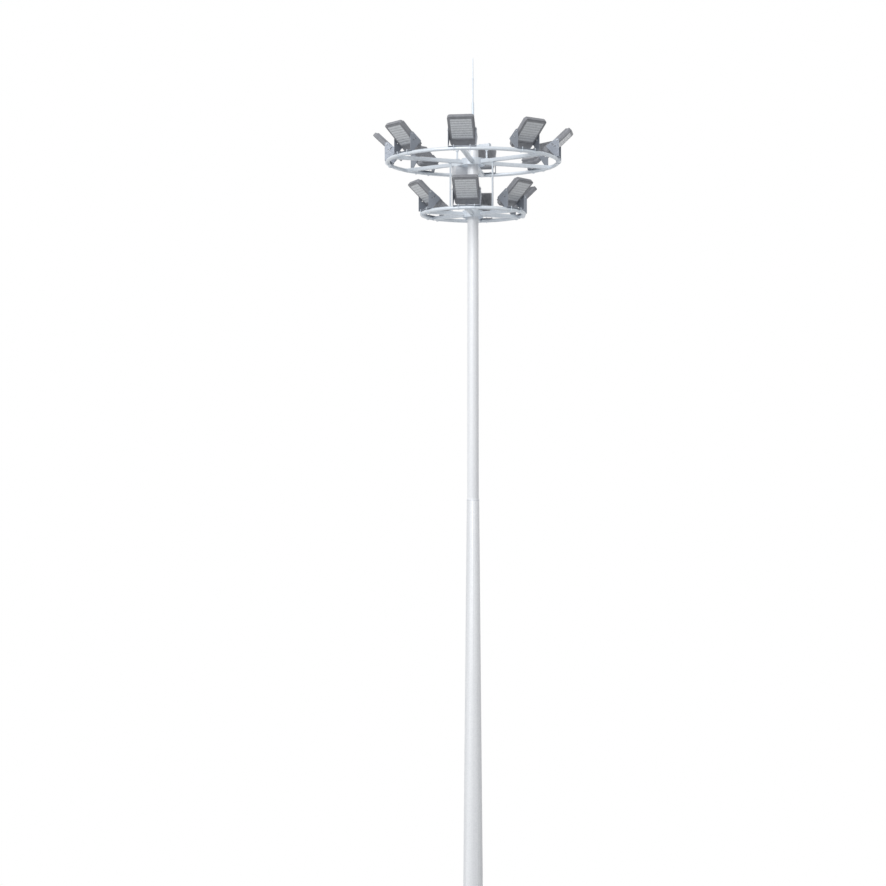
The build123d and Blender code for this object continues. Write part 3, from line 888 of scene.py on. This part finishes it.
def build_carriage():
    """Everything that is hoisted, apart from the light heads. The box is the frame's own shape."""
    def add(name, form, finish, *stands_for, slot="carriage_steel"):
        piece(name, form, "carriage", slot, finish, *stands_for)

    for tier in (UPPER, LOWER):
        name = tier.name
        add(f"{name}_ring_tube", ring_tube(tier), RING_STEEL, f"{name}_ring")
        add(f"{name}_hub_band", hub_band(tier), RING_STEEL, f"{name}_hub")
        add(f"{name}_spoke_tubes", spoke_tubes(tier), RING_STEEL, f"{name}_spokes")
        add(f"{name}_spoke_welds", spoke_welds(tier), WELD)
    add("tie_rods_round", tie_rods(), RING_STEEL, "tie_rods")
    add("tie_rod_nuts", tie_rod_nuts(), ZINC)
    add("docking_pins_round", docking_pins(), RING_STEEL, "docking_pins")
    keep("junction_box", BOX_GREY, 0.003)
    add("junction_box_fittings", box_fittings(), BOX_GREY, slot="box_grey")
    for tier in (UPPER, LOWER):
        name, places = tier.name, (stations(tier.lights), tier.ring, tier.z)
        add(f"{name}_yoke_plates", around(yoke(), *places), YOKE_STEEL, f"{name}_yokes", slot="yoke_steel")
        add(f"{name}_ring_clamps", around(ring_clamps(), *places), RING_STEEL, slot="yoke_steel")
        add(f"{name}_yoke_welds", around(foot_welds(), *places), WELD, slot="yoke_steel")


# ================= light heads =================


def head_outline():
    """Front view of a head: square at its outer end, a little narrower at its foot, four round corners."""
    half, wide, foot, r = HEAD_LENGTH / 2, HEAD_WIDTH / 2, HEAD_FOOT / 2, HEAD_CORNER
    corners = [(half, -wide), (half, wide), (-half / 2, wide), (-half, foot), (-half, -foot),
               (-half / 2, -wide)]
    return rounded(corners, [r, r, 0, r, r, 0], 6)


def head_casting():
    """Cast body: a tray with rolled front and back edges and a parting groove, closed behind the lens,
    with tapered cooling fins, a gear case with a lid line, and a boss at each pivot."""
    front, back, groove = -HEAD_FRONT, HEAD_BACK, 0.0018
    form = Form().solid(head_outline(), [
        (-0.005, front), (-0.0015, front + 0.0015), (0, front + 0.005), (0, -0.016), (-groove, -0.015),
        (-groove, -0.012), (0, -0.011), (0, back - 0.012), (-0.0035, back - 0.0035), (-0.012, back)])
    gear = oblong(GEAR_OUTER - GEAR_INNER, GEAR_WIDTH, 0.016, ((GEAR_OUTER + GEAR_INNER) / 2, 0))
    form.solid(gear, [
        (0.004, back - FIN_SINK), (0, back + 0.006), (0, 0.058), (-0.0015, 0.059), (-0.0015, 0.061),
        (0, 0.062), (0, GEAR_BACK - 0.006), (-0.002, GEAR_BACK - 0.002), (-0.006, GEAR_BACK)])
    start, end, low = GEAR_OUTER + 0.014, HEAD_LENGTH / 2 - 0.022, back - FIN_SINK
    side = rounded([(start, low), (end, low), (end - 0.030, FIN_BACK), (start + 0.010, FIN_BACK)],
                   [0, 0, 0.008, 0.006], 3)
    fin = Form().solid(side, [(-0.0004, -0.0022), (0, -0.0015), (0, 0.0015), (-0.0004, 0.0022)])
    row = (HEAD_WIDTH - 0.056) * (np.arange(FINS) / (FINS - 1) - 0.5)
    form.add(fin.copies([shift(y=y) @ TO_FRONT for y in row]))
    boss = Form().turned([(0.0165, 0), (0.0165, 0.0030), (0.0145, 0.0046)], 24)
    form.add(boss.copies([shift(y=way * (HEAD_WIDTH / 2 - 0.0002)) @ lay for way, lay in SIDES]))
    return form


def window(grow_length, grow_width, corner):
    """Outline of the window, larger or smaller by two amounts."""
    return oblong(WINDOW_LENGTH + grow_length, WINDOW_WIDTH + grow_width, corner, (WINDOW_MIDDLE, 0))


def lens_bezel():
    """Flat frame over the edge of the lens, with a bevelled outer and inner rim."""
    z = -HEAD_FRONT
    layers = [(-0.002, z - 0.0030), (0, z - 0.0012), (0, z + 0.001)]
    return Form().solid(window(0.062, 0.050, 0.020), layers, [window(-0.006, -0.006, 0.010)])


def lens_boards():
    """Sheet that closes the window, a little behind the bezel."""
    z = -HEAD_FRONT
    return Form().solid(window(-0.002, -0.002, 0.009), [(0, z - SHEET_RISE), (0, z + 0.004)])


def lens_rows():
    """Moulded optic strips, one a row, each with a line of domes: height h (1 - (d / r)^2) over the
    strip."""
    length, width = WINDOW_LENGTH - 0.014, WINDOW_WIDTH - 0.016
    row, column = length / LENS_ROWS, width / LENS_COLUMNS
    strip = Form().solid(oblong(row * 0.70, width, 0.006, steps=3),
                         [(-0.0012, -0.0014), (0, -0.0006), (0, 0.0004)])
    r, h = min(row * 0.30, column * 0.42), 0.0030
    profile = [(r * k, -0.0012 - h * (1 - k * k)) for k in (0.30, 0.70, 0.92, 1.0)]
    dome = Form().turned(profile + [(r, 0.0)], 12)
    z = -HEAD_FRONT - SHEET_RISE
    xs = WINDOW_MIDDLE + (np.arange(LENS_ROWS) - (LENS_ROWS - 1) / 2) * row
    ys = (np.arange(LENS_COLUMNS) - (LENS_COLUMNS - 1) / 2) * column
    form = strip.copies([shift(x, 0, z) for x in xs])
    return form.add(dome.copies([shift(x, y, z) for x in xs for y in ys]))


def head_screws():
    """Round-headed screws round the bezel and on the gear lid, and the pivot and aiming bolts outside
    the yoke, the latter with their shanks through its slots."""
    screw = Form().turned([(0.0035, 0), (0.0035, 0.0010), (0.0026, 0.0022), (0.0012, 0.0026)], 10)
    x, y = WINDOW_LENGTH / 2 + 0.018, WINDOW_WIDTH / 2 + 0.014
    spots = [(s * x, t * y) for s in (-1, 1) for t in (-0.92, -0.31, 0.31, 0.92)]
    spots += [(s * x, t * y) for s in (-0.5, 0, 0.5) for t in (-1, 1)]
    forward = turn(math.pi, "X")
    form = screw.copies([shift(WINDOW_MIDDLE + a, b, -HEAD_FRONT - 0.0028) @ forward for a, b in spots])
    middle, inset = (GEAR_INNER + GEAR_OUTER) / 2, 0.016
    x, y = (GEAR_OUTER - GEAR_INNER) / 2 - inset, GEAR_WIDTH / 2 - inset
    form.add(screw.copies([shift(middle + s * x, t * y, GEAR_BACK - 0.0002)
                           for s in (-1, 1) for t in (-1, 1)]))
    side, outer = HEAD_WIDTH / 2, YOKE_SPAN / 2 + BOLT_SEAT
    shank = Form().turned([(0.0045, 0), (0.0045, outer - side)], 12)
    angle = AIMING_SPOT - AIM
    x, z = SLOT_RADIUS * math.cos(angle), SLOT_RADIUS * math.sin(angle)
    for way, lay in SIDES:
        form.add(bolt(PIVOT_BOLT).at(shift(y=way * outer), lay),
                 bolt(AIMING_BOLT).at(shift(x, way * outer, z), lay),
                 shank.at(shift(x, way * side, z), lay))
    return form


def window_seal():
    """Dark rubber line between the casting and the bezel: a thin tube along the window outline."""
    path = points_at(*window(0.064, 0.052, 0.021).T, -HEAD_FRONT)
    return Form().pipe(path, 0.0016, (0, 0, 1), 6, closed=True)


def build_lights():
    """The same head at each station of both rings, each on its own body."""
    parts = (("casting", head_casting(), "light_housing", HEAD_PAINT, "housing"),
             ("bezel", lens_bezel(), "light_housing", HEAD_PAINT, None),
             ("lens_boards", lens_boards(), "light_lens", LENS_BASE, "lens"),
             ("lens_rows", lens_rows(), "light_lens", LENS_ROW, None),
             ("screws", head_screws(), "light_housing", ZINC, None),
             ("seal", window_seal(), "light_housing", RUBBER, None))
    for tier in (UPPER, LOWER):
        for number, angle in enumerate(stations(tier.lights), 1):
            body = f"{tier.name}_light_{number}"
            place = turn(angle) @ shift(tier.ring, 0, tier.z + PIVOT_RISE) @ turn(-AIM, "Y")
            for part, form, slot, finish, node in parts:
                stands_for = [f"{body}_{node}"] if node else []
                piece(f"{body}_{part}", form.at(place), body, slot, finish, *stands_for)


build_mast()
build_carriage()
build_lights()

# ================= floor, light and camera =================


def fading_floor(name, radius):
    """Pale floor paint that runs out into the white background towards a radius."""
    f = Finish(name, roughness=0.9, specular_ior_level=0.1)
    x, y, _ = f.axes()
    f.set(base_color=f.mix(f.noise(3.0), srgb(236, 237, 238), srgb(230, 231, 233)))
    edge = ((x * x + y * y) ** 0.5).between(radius * 0.45, radius * 0.97)
    glow = f.node("Emission", None, {"Color": (1, 1, 1, 1), "Strength": f.looked_at()})
    both = f.node("MixShader", None, {0: edge, 1: Wire(f, f.shader.outputs[0]), 2: glow})
    f.join(both, f.tree.nodes["Material Output"].inputs["Surface"])
    return f.material


def build_floor():
    """Flat disc of rings that grow evenly to the floor's radius."""
    rings, count = 24, 96
    rows = np.linspace(0.02, 1, rings) * FLOOR_RADIUS
    grid = np.concatenate([rows[:, None, None] * circle(1, count)[None], np.zeros((rings, count, 1))], 2)
    form = Form().strip(grid)
    form.faces.append(np.arange(count)[None])
    mesh = bpy.data.meshes.new("floor")
    mesh.from_pydata(np.concatenate(form.points), [], [tuple(q) for f in form.faces for q in f])
    mesh.materials.append(fading_floor("floor_paint", FLOOR_RADIUS))
    floor = bpy.data.objects.new("floor", mesh)
    floor.location.z = -FLOOR_DROP
    bpy.context.scene.collection.objects.link(floor)


def from_front(side, away, rise):
    """Point at a distance from the mast's axis, round from -Y by an angle, and at a height."""
    return Vector((away * math.sin(side), -away * math.cos(side), rise))


def build_light():
    """Even sky for the fill, white where it is looked at, and a broad soft key from the upper left."""
    world = bpy.data.worlds.new("studio")
    bpy.context.scene.world = world
    sky = Sky(world)
    back = sky.tree.nodes["Background"].inputs
    back["Color"].default_value = (1, 1, 1, 1)
    sky.join(FILL + sky.looked_at() * (1 - FILL), back["Strength"])
    sun = bpy.data.lights.new("key", "SUN")
    sun.energy = KEY
    sun.angle = KEY_SPREAD
    lamp = bpy.data.objects.new("key", sun)
    towards = from_front(KEY_SIDE, math.cos(KEY_RISE), math.sin(KEY_RISE))
    lamp.rotation_euler = towards.to_track_quat("Z", "Y").to_euler()
    bpy.context.scene.collection.objects.link(lamp)


def build_camera():
    """Camera well away from the mast and above its middle, a little to the right of the first light."""
    data = bpy.data.cameras.new("view")
    data.lens, data.sensor_width = CAMERA_LENS, CAMERA_SENSOR
    data.clip_start, data.clip_end = 0.5, 300
    camera = bpy.data.objects.new("view", data)
    camera.location = from_front(CAMERA_SIDE, CAMERA_AWAY, CAMERA_HEIGHT)
    camera.rotation_euler = (math.radians(90) + CAMERA_UP, 0, CAMERA_SIDE + CAMERA_LEFT)
    bpy.context.scene.collection.objects.link(camera)
    bpy.context.scene.camera = camera


build_floor()
build_light()
build_camera()
bpy.context.scene.view_settings.view_transform = "Standard"
